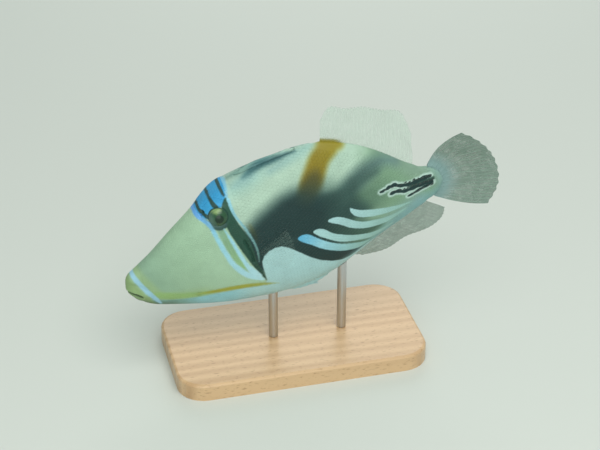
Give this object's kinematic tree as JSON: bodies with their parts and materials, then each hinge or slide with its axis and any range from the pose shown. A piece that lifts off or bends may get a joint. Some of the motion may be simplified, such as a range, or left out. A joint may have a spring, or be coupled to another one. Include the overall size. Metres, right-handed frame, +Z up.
{
  "type": "picasso triggerfish",
  "caption": "Life-size still model of a picasso triggerfish swimming slightly head down, held on a plain display stand with a flat base and short rods.",
  "frame": {"origin": "on the surface the stand rests on, at the centre of the model's box seen from above", "axes": "+X towards the tail, the fish facing -X, +Y towards the fish's right side, +Z up"},
  "size_m": [0.1898, 0.07, 0.1363],
  "materials": {
    "skin": "painted fish skin, satin and slightly wet",
    "fin": "thin translucent fin membrane",
    "eye": "glossy eye",
    "stand_wood": "pale beech, satin",
    "stand_steel": "brushed"
  },
  "bodies": {
    "root": {"head": "skin", "trunk": "skin", "tail_base": "skin", "eye_left": "eye", "eye_right": "eye", "first_dorsal_fin": "skin", "soft_dorsal_fin": "fin", "anal_fin": "fin", "tail_fin": "fin", "pectoral_fin_left": "fin", "pectoral_fin_right": "fin", "pelvic_flap": "skin", "stand_base": "stand_wood", "stand_rod_front": "stand_steel", "stand_rod_rear": "stand_steel"}
  },
  "joints": []
}
